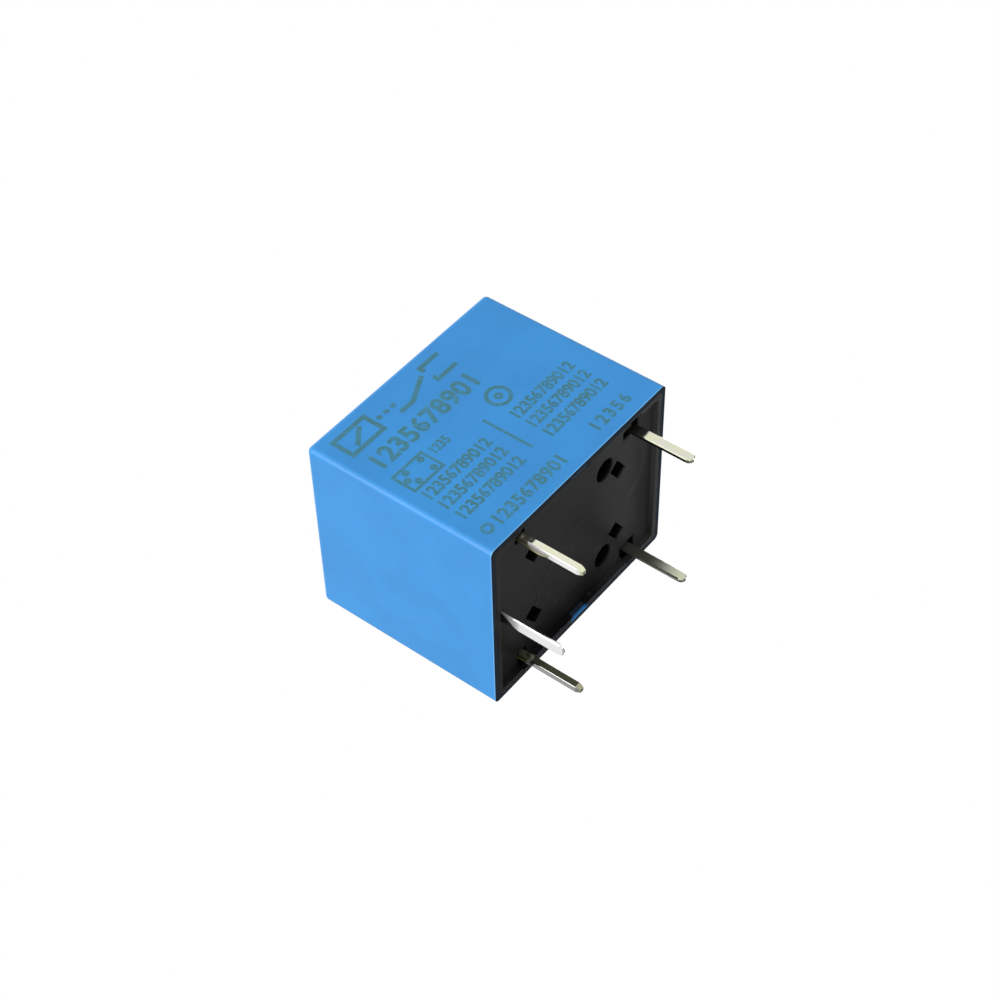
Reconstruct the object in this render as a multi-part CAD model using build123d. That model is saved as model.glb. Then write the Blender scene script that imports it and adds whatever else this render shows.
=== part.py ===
from build123d import *
import math
import os

os.makedirs("parts", exist_ok=True)

# A changeover power relay for a circuit board, in a snap-on cover over a moulded base.
# Lengths are millimetres. The origin is the centre of the plane that sits on the board.
# +Z points away from the board, +X from the common pin to the contact pins, and the
# printed side of the cover faces -Y.

# Cover
case_length = 19.0
case_width = 15.3
case_height = 15.4
case_wall = 0.8
case_edge_radius = 0.4
inner_corner_radius = 0.3
lip_thickness = 0.35        # the cover's wall where it wraps the base's edge
lug_recess = 0.12           # the cover's snap lugs stop this far above the board plane

# Fits
seat_gap = 0.03             # between pieces that are pressed, snapped or stacked together
slide_gap = 0.05            # round terminals and wires in their slots
contact_air = 0.04          # between closed contacts, and between the pole and the armature
overcut = 0.5               # cuts run this far past the faces that they go through

# Base
rim_width = 0.4             # flat edge that rests on the board
rim_web = 0.12              # moulding left between a gap in the rim and the cover
contact_rim_gap = 1.15      # width of the gap in the rim outside each contact pin
coil_rim_gap = 0.8
panel_sink = 0.4            # the floor's underside stands this far off the board
floor_thickness = 0.9
skirt_height = 2.1          # wall that locates the cover, above the floor
skirt_thickness = 0.6
skirt_opening_clearance = 0.7   # each side of the common terminal's plate
notch_length = 2.2          # snap notch at the middle of each long edge
notch_taper = 0.35          # how much each end of the notch leans in
tower_height = 6.2
tower_margin = 0.5          # moulding on each side of a contact terminal, along X
tower_depth = 1.95          # along Y, inward from the skirt's outer face
barrier_below_pole = 1.3    # from the barrier's top edge up to the pole face
barrier_thickness = 0.6
barrier_clearance = 0.35    # from the bobbin's flange
rail_height = 0.9
rail_thickness = 0.5
rail_from_post = 0.75       # along X, from the coil pins' posts
core_hole_depth = 2.2       # moulding holes, from the floor's underside
round_hole_radius = 0.92
round_hole_from_pins = 2.92     # from the contact pins' row
round_hole_offset = 4.3         # from the centre line
oblong_hole_size = (1.7, 1.0)
oblong_hole_turn = 54           # degrees from the X axis
oblong_hole_from_pins = 1.38    # from either row of pins
oblong_hole_offset = 3.08
pocket_size = (1.75, 1.25)      # round each contact pin
pocket_depth = 0.45
solder_well = 1.0               # square hole round each coil pin

# Board pins
pin_length = 4.7                # below the board plane
com_pin_from_end = 1.42         # centre of the common pin from the case's end
coil_row_from_com = 2.0
contact_row_from_end = 3.38     # from the case's other end, so 12.2 from the coil pins
pins_from_side = 1.65           # from the case's sides, so 12.0 across each pair
contact_pin_width = 0.8
contact_strip = 0.35
com_pin_width = 1.0
com_strip = 0.25
coil_pin = 0.55
coil_pin_tip = 0.4
coil_pin_point = 0.3            # width left at the very tip
pin_edge = 0.07                 # bevel or rounding along the pins' edges

# Magnet system
yoke_thickness = 1.1
yoke_from_posts = 0.45          # each side, from the coil pins' posts
yoke_bend = 0.45                # inner radius
ear_height = 0.85
ear_width = 1.3
pole_radius = 3.2
pole_thickness = 0.8
core_radius = 1.7
core_stake_radius = 1.3
bobbin_flange = 9.4
bobbin_corner = 1.2
bobbin_lower_flange = 0.8
bobbin_upper_flange = 0.7
bobbin_barrel_wall = 0.55
winding_inset = 0.35            # from the flange's edge
tape_thickness = 0.06
terminal_block = 1.5            # square posts that hold the coil pins
coil_pin_cover = 0.3            # moulding left above the coil pin's end
block_below_flange = 0.5
lead_wire = 0.12
lead_bow = 0.1                  # how far the loose end stands off the front pin
loose_end = 1.6                 # below the board plane
solder_radius = 0.45
solder_sides = 12               # flats round each joint, few so that it stays light
front_solder_heights = (-0.2, 0.2, 0.8)     # foot, widest ring and top, on the front pin
rear_solder_heights = (-0.75, -0.15, 0.6)

# Contacts and armature
contact_gap = 0.8               # travel of the moving contact
terminal_width = 3.0            # of the contact terminals above the base
terminal_bend = 0.3             # inner radius
arm_past_contact = 1.5
arm_corner_radius = 1.0
top_clearance = 0.45            # between the upper contact arm and the cover
contact_radius = 1.25
contact_thickness = 0.5
contact_edge = 0.17             # bevel round the working face
rivet_radius = 0.65
rivet_head_radius = 0.95
rivet_head = 0.15
moving_radius = 1.15
moving_flat = 0.2               # radius of the flat at the middle of its faces
moving_head = 0.4
moving_dome = 0.14              # fall from that flat to the edge
armature_thickness = 1.1
armature_inset = 0.3            # each side, from the yoke's edge
armature_front_past_pole = 1.5
armature_front_chamfer = 1.2
neck_clearance = 0.2            # each side of the neck, from the yoke's ears
armature_back_gap = 0.15        # from the yoke's back face to the armature's edge
armature_back_round = 0.7
spring_thickness = 0.12
spring_inset = 0.3              # each side, from the armature's neck
spring_bend = 0.84              # inner radius over the armature's edge
spring_window = 2.6
spring_above_plate = 1.0        # from the common terminal's plate up to the leaf's foot
spring_tongue = 2.9
spring_end = 1.5                # past the moving contact
stake_radius = 0.65
stake_head_radius = 0.95
stake_head = 0.2
stake_from_edge = 1.2           # from the edge of the leaf or plate that it holds
spring_stake_rise = 1.3         # above the leaf's foot
com_plate_inset = 0.1           # each side, from the leaf's edge
com_plate_top = 5.2
com_plate_bottom = 1.9
com_plate_corner = 0.35

# Places worked out from the sizes above
half_length = case_length / 2
half_width = case_width / 2
half_pitch = half_width - pins_from_side
com_x = -half_length + com_pin_from_end
coil_x = com_x + coil_row_from_com
contact_x = half_length - contact_row_from_end
floor_top = panel_sink + floor_thickness
base_half_length = half_length - lip_thickness - seat_gap
base_half_width = half_width - lip_thickness - seat_gap
skirt_half_length = half_length - case_wall - seat_gap
skirt_half_width = half_width - case_wall - seat_gap
skirt_top = floor_top + skirt_height

yoke_back = com_x + com_strip / 2
yoke_front = yoke_back + yoke_thickness
yoke_width = 2 * (half_pitch - terminal_block / 2 - yoke_from_posts)
armature_width = yoke_width - 2 * armature_inset
neck_width = yoke_width - 2 * (ear_width + neck_clearance)
spring_width = neck_width - 2 * spring_inset
com_plate_width = spring_width - 2 * com_plate_inset
spring_stake_spacing = spring_width - 2 * stake_from_edge
com_stake_spacing = com_plate_width - 2 * stake_from_edge
spring_bottom = com_plate_top + spring_above_plate
spring_stake_z = spring_bottom + spring_stake_rise
com_stake_z = (com_plate_bottom + com_plate_top) / 2
foot_bottom = floor_top + seat_gap
foot_top = foot_bottom + yoke_thickness
core_x = yoke_front + slide_gap + bobbin_flange / 2
winding_radius = bobbin_flange / 2 - winding_inset
flange_bottom = foot_top + seat_gap
winding_bottom = flange_bottom + bobbin_lower_flange
coil_pin_top = winding_bottom - coil_pin_cover

# Heights follow from the top down: cover, upper arm, contacts, spring, armature, pole
arm_top = case_height - case_wall - top_clearance
closed_face = arm_top - contact_strip - contact_thickness
spring_top_at_rest = closed_face - contact_air - moving_head
armature_top = spring_top_at_rest - spring_thickness - contact_gap
armature_bottom = armature_top - armature_thickness
pole_top = armature_bottom - contact_air
flange_top = pole_top - pole_thickness
winding_top = flange_top - bobbin_upper_flange
lower_arm_top = armature_top - moving_head - contact_air - contact_thickness

hinge_x = yoke_back + armature_back_gap
hinge_z = armature_bottom
rest_angle = math.degrees(math.asin(contact_gap / (contact_x - hinge_x)))
armature_front = core_x + pole_radius + armature_front_past_pole


def block(x0, x1, y0, y1, z0, z1):
    """Box between two opposite corners, which may come in any order."""
    centre = Pos((x0 + x1) / 2, (y0 + y1) / 2, (z0 + z1) / 2)
    return centre * Box(abs(x1 - x0), abs(y1 - y0), abs(z1 - z0))


def centred(length, width, z0, z1):
    """Box centred on the Z axis between two heights."""
    return block(-length / 2, length / 2, -width / 2, width / 2, z0, z1)


def post(x, y, z0, z1, radius):
    """Upright round bar."""
    return Pos(x, y, (z0 + z1) / 2) * Cylinder(radius, abs(z1 - z0))


def bar_along_x(x0, x1, y, z, radius):
    """Round bar along X."""
    return Pos((x0 + x1) / 2, y, z) * Rot(0, 90, 0) * Cylinder(radius, x1 - x0)


def bent_strip(points, bend, thickness, width, across):
    """Strip of constant section along a bent line; bend is the radius on the inside."""
    path = FilletPolyline(*points, radius=bend + thickness / 2)
    start = Plane(origin=path @ 0, x_dir=across, z_dir=path % 0)
    return sweep(start * Rectangle(width, thickness), path=path)


def tilt(shape):
    """Turn a shape that was drawn with the armature pulled in to its place at rest."""
    there = Pos(hinge_x, 0, hinge_z)
    return there * Rot(0, -rest_angle, 0) * there.inverse() * shape


def tilted_point(x, z):
    """The same turn for a point in the plane Y = 0."""
    turn = math.radians(rest_angle)
    dx, dz = x - hinge_x, z - hinge_z
    return (
        hinge_x + dx * math.cos(turn) - dz * math.sin(turn),
        hinge_z + dx * math.sin(turn) + dz * math.cos(turn),
    )


def upright_edges(shape):
    """Edges that run along Z."""
    return shape.edges().filter_by(Axis.Z)


def save(shape, name):
    """Write one piece under its node's name."""
    shape.label = name
    export_step(shape, f"parts/{name}.step")


# Case


def notch(side, clearance, z0, z1):
    """Snap notch in the base's long edge; side is -1 or 1 along Y."""
    depth = case_wall - lip_thickness
    outer = half_width - lip_thickness
    near = notch_length / 2 - clearance
    far = near - notch_taper
    outline = Polyline(
        (-near, side * outer),
        (near, side * outer),
        (far, side * (outer - depth + clearance)),
        (-far, side * (outer - depth + clearance)),
        close=True,
    )
    return Pos(0, 0, z0) * extrude(make_face(outline), amount=z1 - z0, dir=(0, 0, 1))


def make_cover():
    """Moulded box, open below, whose lip wraps the base's edge and snaps into its notches."""
    outside = centred(case_length, case_width, 0, case_height)
    rounded = upright_edges(outside) + outside.faces().sort_by(Axis.Z)[-1].edges()
    outside = fillet(rounded, case_edge_radius)
    inside = centred(
        case_length - 2 * case_wall, case_width - 2 * case_wall, 0, case_height - case_wall
    )
    inside = fillet(upright_edges(inside), inner_corner_radius)
    seat = centred(
        case_length - 2 * lip_thickness,
        case_width - 2 * lip_thickness,
        0,
        floor_top + seat_gap,
    )
    seat = fillet(upright_edges(seat), inner_corner_radius)
    cover = outside - inside - seat
    for side in (-1, 1):
        cover += notch(side, slide_gap, lug_recess, floor_top + seat_gap)
    return cover


def strip_slot(width, thickness, x, y, z0, z1):
    """Slot for a flat terminal, with its clearance all round."""
    half_w = width / 2 + slide_gap
    half_t = thickness / 2 + slide_gap
    return block(x - half_w, x + half_w, y - half_t, y + half_t, z0, z1)


def oblong_hole(x, y):
    """Oblong moulding hole through the floor, set at an angle."""
    return Pos(x, y, 0) * Rot(0, 0, oblong_hole_turn) * centred(*oblong_hole_size, 0, floor_top)


def base_walls():
    """Skirt, terminal towers, coil barrier and yoke rails that stand on the floor."""
    outer = centred(2 * skirt_half_length, 2 * skirt_half_width, floor_top, skirt_top)
    hollow = centred(
        2 * (skirt_half_length - skirt_thickness),
        2 * (skirt_half_width - skirt_thickness),
        floor_top,
        skirt_top,
    )
    walls = fillet(upright_edges(outer), inner_corner_radius) - hollow
    half_gap = com_plate_width / 2 + skirt_opening_clearance
    walls -= block(-half_length, yoke_front, -half_gap, half_gap, floor_top, skirt_top)
    half_block = terminal_block / 2 + seat_gap
    walls -= block(
        coil_x - half_block, coil_x + half_block, -half_width, half_width, floor_top, skirt_top
    )
    tower_half = terminal_width / 2 + tower_margin
    for side in (-1, 1):
        y_out = side * skirt_half_width
        y_in = side * (skirt_half_width - tower_depth)
        walls += block(
            contact_x - tower_half,
            contact_x + tower_half,
            y_in,
            y_out,
            floor_top,
            floor_top + tower_height,
        )
        y_rail = side * (yoke_width / 2 + seat_gap)
        y_back = y_rail + side * rail_thickness
        walls += block(
            coil_x + terminal_block / 2 + rail_from_post,
            core_x + pole_radius,
            y_rail,
            y_back,
            floor_top,
            floor_top + rail_height,
        )
    barrier_x = core_x + bobbin_flange / 2 + barrier_clearance
    walls += block(
        barrier_x,
        barrier_x + barrier_thickness,
        -skirt_half_width,
        skirt_half_width,
        floor_top,
        pole_top - barrier_below_pole,
    )
    return walls


def rim_gap(x, side, width):
    """Gap in the rim between a pin and the cover."""
    y_pin = side * half_pitch
    y_out = side * (base_half_width - rim_web)
    top = panel_sink + pocket_depth
    return block(x - width / 2, x + width / 2, y_pin, y_out, 0, top)


def make_base():
    """Moulded floor with a flat rim, pin pockets, moulding holes and the walls above it."""
    plate = centred(2 * base_half_length, 2 * base_half_width, 0, floor_top)
    plate = fillet(upright_edges(plate), inner_corner_radius)
    panel = centred(
        2 * (base_half_length - rim_width), 2 * (base_half_width - rim_width), 0, panel_sink
    )
    base = plate - fillet(upright_edges(panel), inner_corner_radius) + base_walls()
    top = pole_top - barrier_below_pole
    for side in (-1, 1):
        base -= notch(side, 0, 0, floor_top)
        y_pin = side * half_pitch
        half_px, half_py = pocket_size[0] / 2, pocket_size[1] / 2
        base -= block(
            contact_x - half_px,
            contact_x + half_px,
            y_pin - half_py,
            y_pin + half_py,
            panel_sink,
            panel_sink + pocket_depth,
        )
        base -= rim_gap(contact_x, side, contact_rim_gap)
        base -= rim_gap(coil_x, side, coil_rim_gap)
        base -= strip_slot(contact_pin_width, contact_strip, contact_x, y_pin, 0, floor_top)
        base -= strip_slot(terminal_width, contact_strip, contact_x, y_pin, floor_top, top)
        half_well = solder_well / 2
        base -= block(
            coil_x - half_well,
            coil_x + half_well,
            y_pin - half_well,
            y_pin + half_well,
            panel_sink,
            floor_top,
        )
        round_x = contact_x - round_hole_from_pins
        round_top = panel_sink + core_hole_depth
        base -= post(round_x, side * round_hole_offset, 0, round_top, round_hole_radius)
        base -= oblong_hole(contact_x - oblong_hole_from_pins, side * oblong_hole_offset)
        base -= oblong_hole(coil_x + oblong_hole_from_pins, side * oblong_hole_offset)
    base -= strip_slot(com_strip, com_pin_width, com_x, 0, 0, floor_top)
    return base


# Coil and magnet


def make_bobbin():
    """Flanged coil former with two posts that hold the coil pins beside the yoke's foot."""
    half = bobbin_flange / 2
    lower = block(core_x - half, core_x + half, -half, half, flange_bottom, winding_bottom)
    upper = block(core_x - half, core_x + half, -half, half, winding_top, flange_top)
    bobbin = fillet(upright_edges(lower), bobbin_corner)
    bobbin += fillet(upright_edges(upper), bobbin_corner)
    barrel = core_radius + seat_gap + bobbin_barrel_wall
    bobbin += post(core_x, 0, flange_bottom, flange_top, barrel)
    half_post = terminal_block / 2
    for side in (-1, 1):
        y_arm = side * (half - bobbin_corner)
        y_out = side * (half_pitch + min(half_post, skirt_half_width - half_pitch))
        y_in = side * (half_pitch - half_post)
        bobbin += block(
            coil_x - half_post,
            coil_x + half_post,
            y_arm,
            y_out,
            flange_bottom,
            winding_bottom,
        )
        bobbin += block(
            coil_x - half_post,
            coil_x + half_post,
            y_in,
            y_out,
            flange_bottom - block_below_flange,
            flange_bottom,
        )
        half_pin = coil_pin / 2
        bobbin -= block(
            coil_x - half_pin,
            coil_x + half_pin,
            side * half_pitch - half_pin,
            side * half_pitch + half_pin,
            0,
            coil_pin_top,
        )
    bobbin -= post(core_x, 0, flange_bottom, flange_top, core_radius + seat_gap)
    corner = yoke_bend + seat_gap
    relief = make_face(Polyline((0, 0), (corner, 0), (0, corner), close=True))
    relief = extrude(Plane.XZ * relief, amount=yoke_width / 2 + seat_gap, both=True)
    return bobbin - Pos(yoke_front, 0, foot_top) * relief


def make_lead(side, tail):
    """One end of the winding: out past the flange, down the post's front and round the pin."""
    from_pin = coil_pin / 2 + lead_wire / 2 + seat_gap
    x_drop = coil_x + terminal_block / 2 + lead_wire
    x_back = coil_x - from_pin
    y_start = side * (winding_radius - lead_wire)
    y_turn = side * (half_pitch - from_pin)
    y_pin = side * half_pitch
    z_over = winding_bottom + lead_wire
    z_under = floor_top + lead_wire
    path = Polyline(
        (core_x, y_start, z_over),
        (x_drop, y_start, z_over),
        (x_drop, y_turn, z_over),
        (x_drop, y_turn, z_under),
        (x_back, y_turn, z_under),
        (x_back, y_pin, z_under),
        *((x_back - stand_off, y_pin, z) for stand_off, z in tail),
    )
    start = Plane(origin=path @ 0, z_dir=path % 0)
    section = start * RegularPolygon(lead_wire / 2, 6)
    return sweep(section, path=path, transition=Transition.RIGHT)


def make_front_lead():
    """The front end bows away from its pin below the solder and comes back to it."""
    foot = front_solder_heights[0]
    return make_lead(-1, [(0, foot), (lead_bow, (foot - loose_end) / 2), (0, -loose_end)])


def make_rear_lead():
    """The rear end stops inside the solder."""
    return make_lead(1, [(0, rear_solder_heights[1])])


def make_winding():
    """The wound wire as one body, with its two ends."""
    bore = core_radius + seat_gap + bobbin_barrel_wall
    coil = post(core_x, 0, winding_bottom, winding_top, winding_radius)
    coil -= post(core_x, 0, winding_bottom, winding_top, bore)
    return coil + make_front_lead() + make_rear_lead()


def make_tape():
    """Insulating tape wrapped round the winding, above the place where its ends come out."""
    low = winding_bottom + 2 * lead_wire
    tape = post(core_x, 0, low, winding_top, winding_radius + tape_thickness)
    return tape - post(core_x, 0, low, winding_top, winding_radius)


def make_coil_terminal(side):
    """Square tinned wire pressed into the bobbin's post, with a pointed end."""
    section = RectangleRounded(coil_pin, coil_pin, pin_edge)
    shaft_end = -pin_length + coil_pin_tip
    shaft = Pos(0, 0, shaft_end) * extrude(section, amount=coil_pin_top - shaft_end)
    lean = math.degrees(math.atan((coil_pin - coil_pin_point) / 2 / coil_pin_tip))
    point = Rot(180, 0, 0) * extrude(section, amount=coil_pin_tip, taper=lean)
    return Pos(coil_x, side * half_pitch, 0) * (shaft + Pos(0, 0, shaft_end) * point)


def make_solder(side, heights, wire):
    """Solder that holds the wire's end at a coil pin's root."""
    half_pin = coil_pin / 2
    rings = [
        Pos(0, 0, height) * RegularPolygon(radius, solder_sides)
        for height, radius in zip(heights, (half_pin, solder_radius, half_pin))
    ]
    drop = loft(rings, ruled=True) - centred(coil_pin, coil_pin, heights[0], heights[-1])
    return Pos(coil_x, side * half_pitch, 0) * drop - wire


def make_core():
    """Turned iron core: wide pole face, shaft, and a stake through the yoke's foot."""
    core = post(core_x, 0, flange_top, pole_top, pole_radius)
    core += post(core_x, 0, foot_top, flange_top, core_radius)
    core += post(core_x, 0, foot_bottom, foot_top, core_stake_radius)
    return core


def stakes(spacing, z, through):
    """Pair of stakes on the yoke's back: necks through a part, then flattened heads."""
    pair = Part()
    neck_end = yoke_back - through
    for y in (-spacing / 2, spacing / 2):
        pair += bar_along_x(neck_end, yoke_back, y, z, stake_radius)
        pair += bar_along_x(neck_end - stake_head, neck_end, y, z, stake_head_radius)
    return pair


def make_yoke():
    """Bent iron L: a foot under the coil and an upright whose edge carries the armature."""
    middle_x = (yoke_back + yoke_front) / 2
    middle_z = (foot_bottom + foot_top) / 2
    foot_end = core_x + pole_radius
    yoke = bent_strip(
        [(foot_end, 0, middle_z), (middle_x, 0, middle_z), (middle_x, 0, pole_top)],
        yoke_bend,
        yoke_thickness,
        yoke_width,
        (0, 1, 0),
    )
    for side in (-1, 1):
        edge = side * yoke_width / 2
        inner = edge - side * ear_width
        yoke += block(
            yoke_back, yoke_front, edge, inner, pole_top, pole_top + ear_height
        )
    yoke -= post(core_x, 0, foot_bottom, foot_top, core_stake_radius + seat_gap / 2)
    yoke += stakes(spring_stake_spacing, spring_stake_z, spring_thickness)
    yoke += stakes(com_stake_spacing, com_stake_z, com_strip)
    return yoke


# Terminals and fixed contacts


def blade(width, thickness, z_top):
    """Flat pin with a fully rounded end, broad face along Y, centred on the Z axis."""
    radius = width / 2
    tip_z = -pin_length + radius
    outline = make_face(
        Polyline((-radius, tip_z), (-radius, z_top), (radius, z_top), (radius, tip_z))
        + ThreePointArc((radius, tip_z), (0, -pin_length), (-radius, tip_z))
    )
    flat = extrude(Plane.XZ * outline, amount=thickness / 2, both=True)
    outer_edges = flat.faces().filter_by(Axis.Y).edges().sort_by(Axis.Z)
    return chamfer(outer_edges[:-2], pin_edge)


def make_com_terminal():
    """Common blade with a plate that is staked to the yoke's back."""
    pin = Pos(com_x, 0, 0) * Rot(0, 0, 90) * blade(com_pin_width, com_strip, com_plate_bottom)
    half_t = com_strip / 2
    plate = block(
        com_x - half_t,
        com_x + half_t,
        -com_plate_width / 2,
        com_plate_width / 2,
        com_plate_bottom,
        com_plate_top,
    )
    plate = fillet(plate.edges().filter_by(Axis.X), com_plate_corner)
    clear = stake_radius + seat_gap / 2
    for y in (-com_stake_spacing / 2, com_stake_spacing / 2):
        plate -= bar_along_x(com_x - half_t, com_x + half_t, y, com_stake_z, clear)
    return pin + plate


def make_contact_terminal(side, top):
    """Contact blade, its broad upright in the base's tower, and the arm over the middle."""
    y_mid = side * half_pitch
    z_mid = top - contact_strip / 2
    y_tip = -side * arm_past_contact
    upright = bent_strip(
        [(contact_x, y_mid, floor_top), (contact_x, y_mid, z_mid), (contact_x, y_tip, z_mid)],
        terminal_bend,
        contact_strip,
        terminal_width,
        (1, 0, 0),
    )
    pin = Pos(contact_x, y_mid, 0) * blade(contact_pin_width, contact_strip, floor_top)
    hole = post(contact_x, 0, top - contact_strip, top, rivet_radius + seat_gap / 2)
    corners = upright.edges().filter_by(Axis.Z).sort_by(Axis.Y)
    tip = corners[:2] if side > 0 else corners[-2:]
    return fillet(tip, arm_corner_radius) + pin - hole


def make_fixed_contact(top, side_up):
    """Contact rivet: head on the working side, shank through the arm, flattened end."""
    bottom = top - contact_strip
    face = top if side_up > 0 else bottom
    back = bottom if side_up > 0 else top
    head_end = face + side_up * contact_thickness
    tail_end = back - side_up * rivet_head
    head = post(contact_x, 0, face, head_end, contact_radius)
    working = head.faces().sort_by(Axis.Z)[-1 if side_up > 0 else 0]
    head = chamfer(working.edges(), contact_edge)
    shank = post(contact_x, 0, bottom, top, rivet_radius)
    tail = post(contact_x, 0, back, tail_end, rivet_head_radius)
    return head + shank + tail


# Armature, drawn pulled in and then tilted to rest


def make_armature():
    """Iron plate with a narrow neck between the yoke's ears and two stakes for the spring."""
    neck_end = yoke_front + armature_back_gap
    half = armature_width / 2
    plate = block(neck_end, armature_front, -half, half, armature_bottom, armature_top)
    plate = chamfer(upright_edges(plate).group_by(Axis.X)[-1], armature_front_chamfer)
    neck = block(
        hinge_x, neck_end, -neck_width / 2, neck_width / 2, armature_bottom, armature_top
    )
    back_top = neck.edges().filter_by(Axis.Y).group_by(Axis.Z)[-1].sort_by(Axis.X)[0]
    plate += fillet(back_top, armature_back_round)
    for y in (-spring_stake_spacing / 2, spring_stake_spacing / 2):
        neck_top = armature_top + spring_thickness
        plate += post(core_x, y, armature_top, neck_top, stake_radius)
        plate += post(core_x, y, neck_top, neck_top + stake_head, stake_head_radius)
    return tilt(plate)


def make_spring():
    """Copper-alloy leaf: foot on the yoke's back, bend over the armature, contact tongue."""
    x_foot = yoke_back - spring_thickness / 2
    z_mid = armature_top + spring_thickness / 2
    lie_x, lie_z = tilted_point(hinge_x, z_mid)
    end_x, end_z = tilted_point(contact_x + spring_end, z_mid)
    corner_z = lie_z + (x_foot - lie_x) * math.tan(math.radians(rest_angle))
    leaf = bent_strip(
        [(x_foot, 0, spring_bottom), (x_foot, 0, corner_z), (end_x, 0, end_z)],
        spring_bend,
        spring_thickness,
        spring_width,
        (0, 1, 0),
    )
    low, high = armature_top - overcut, armature_top + overcut
    past = contact_x + spring_end + overcut
    for side in (-1, 1):
        tongue = side * spring_tongue / 2
        edge = side * spring_width / 2
        outside = edge + side * overcut
        outline = Polyline(
            (core_x + pole_radius, edge),
            (armature_front + spring_tongue / 2, tongue),
            (past, tongue),
            (past, outside),
            (core_x + pole_radius, outside),
            close=True,
        )
        leaf -= tilt(Pos(0, 0, low) * extrude(make_face(outline), amount=high - low, dir=(0, 0, 1)))
    leaf -= block(
        yoke_back - overcut,
        yoke_front,
        -spring_window / 2,
        spring_window / 2,
        spring_stake_z + 2 * stake_radius,
        arm_top,
    )
    for y in (-spring_stake_spacing / 2, spring_stake_spacing / 2):
        clear = stake_radius + seat_gap / 2
        leaf -= tilt(post(core_x, y, low, high, clear))
        leaf -= bar_along_x(yoke_back - overcut, yoke_back, y, spring_stake_z, clear)
    leaf -= tilt(post(contact_x, 0, low, high, rivet_radius + seat_gap / 2))
    return leaf


def make_moving_contact():
    """Two-headed contact rivet through the spring's tongue, its faces falling to their edges."""
    low, high = armature_top, armature_top + spring_thickness
    profile = Polyline(
        (0, low - moving_head),
        (moving_flat, low - moving_head),
        (moving_radius, low - moving_head + moving_dome),
        (moving_radius, low),
        (rivet_radius, low),
        (rivet_radius, high),
        (moving_radius, high),
        (moving_radius, high + moving_head - moving_dome),
        (moving_flat, high + moving_head),
        (0, high + moving_head),
        close=True,
    )
    rivet = revolve(Plane.XZ * make_face(profile), Axis.Z)
    return tilt(Pos(contact_x, 0, 0) * rivet)


save(make_cover(), "cover")
save(make_base(), "base")
save(make_bobbin(), "bobbin")
save(make_winding(), "coil_winding")
save(make_tape(), "coil_tape")
save(make_core(), "core")
save(make_yoke(), "yoke")
save(make_com_terminal(), "com_terminal")
save(make_contact_terminal(-1, arm_top), "normally_closed_terminal")
save(make_contact_terminal(1, lower_arm_top), "normally_open_terminal")
save(make_fixed_contact(arm_top, -1), "normally_closed_contact")
save(make_fixed_contact(lower_arm_top, 1), "normally_open_contact")
save(make_armature(), "armature")
save(make_spring(), "contact_spring")
save(make_moving_contact(), "moving_contact")
save(make_coil_terminal(-1), "coil_terminal_front")
save(make_coil_terminal(1), "coil_terminal_rear")
save(make_solder(-1, front_solder_heights, make_front_lead()), "solder_joint_front")
save(make_solder(1, rear_solder_heights, make_rear_lead()), "solder_joint_rear")
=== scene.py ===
import logging
import math
from dataclasses import dataclass, field
from enum import Enum

import bmesh
import bpy
from bmesh.types import BMesh, BMVert
from bpy.types import ID, Curve, Material, Mesh, NodeSocket, NodeTree, Object
from mathutils import Matrix, Vector


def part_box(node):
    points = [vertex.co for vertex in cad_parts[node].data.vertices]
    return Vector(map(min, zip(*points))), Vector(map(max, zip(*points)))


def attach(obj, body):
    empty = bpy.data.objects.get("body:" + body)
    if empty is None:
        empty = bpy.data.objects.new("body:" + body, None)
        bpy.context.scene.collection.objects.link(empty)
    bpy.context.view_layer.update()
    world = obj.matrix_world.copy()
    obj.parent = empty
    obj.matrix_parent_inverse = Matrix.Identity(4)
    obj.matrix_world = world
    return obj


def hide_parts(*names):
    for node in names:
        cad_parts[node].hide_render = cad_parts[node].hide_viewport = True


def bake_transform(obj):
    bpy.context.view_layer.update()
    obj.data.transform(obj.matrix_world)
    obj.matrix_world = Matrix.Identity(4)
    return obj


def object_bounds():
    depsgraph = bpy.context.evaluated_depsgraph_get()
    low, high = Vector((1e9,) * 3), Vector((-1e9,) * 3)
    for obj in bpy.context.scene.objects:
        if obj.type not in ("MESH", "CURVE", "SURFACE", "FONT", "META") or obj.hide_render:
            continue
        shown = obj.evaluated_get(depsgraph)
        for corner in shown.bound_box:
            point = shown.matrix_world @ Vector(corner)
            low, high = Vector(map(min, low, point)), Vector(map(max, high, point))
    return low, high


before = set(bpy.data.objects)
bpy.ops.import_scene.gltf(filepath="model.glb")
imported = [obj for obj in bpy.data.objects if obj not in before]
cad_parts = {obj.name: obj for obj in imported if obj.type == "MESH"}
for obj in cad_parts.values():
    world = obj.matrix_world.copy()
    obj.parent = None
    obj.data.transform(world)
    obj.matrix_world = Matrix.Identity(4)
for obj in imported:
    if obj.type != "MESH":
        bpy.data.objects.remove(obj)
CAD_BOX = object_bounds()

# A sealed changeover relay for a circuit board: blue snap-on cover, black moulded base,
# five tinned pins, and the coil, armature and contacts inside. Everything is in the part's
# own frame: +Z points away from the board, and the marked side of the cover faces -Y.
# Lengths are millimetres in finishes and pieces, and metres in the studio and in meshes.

LOG = logging.getLogger("relay")
MM = 0.001
MIDDLE = 0.5
Colour = tuple[float, float, float]
Point = tuple[float, float]
Triple = tuple[float, float, float]
Span = tuple[float, float]  # a smooth change is 0 at the first value, 1 at the second


class Body(Enum):
    """The two rigid bodies of the relay."""

    HOUSING = "housing"
    ARMATURE = "armature_assembly"


class Slot(Enum):
    """The record's material slots, one for each kind of made piece."""

    COVER = "cover_plastic"
    LEAF = "spring_leaf"
    SOLDER = "solder"
    WIRE = "winding_wire"


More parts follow.
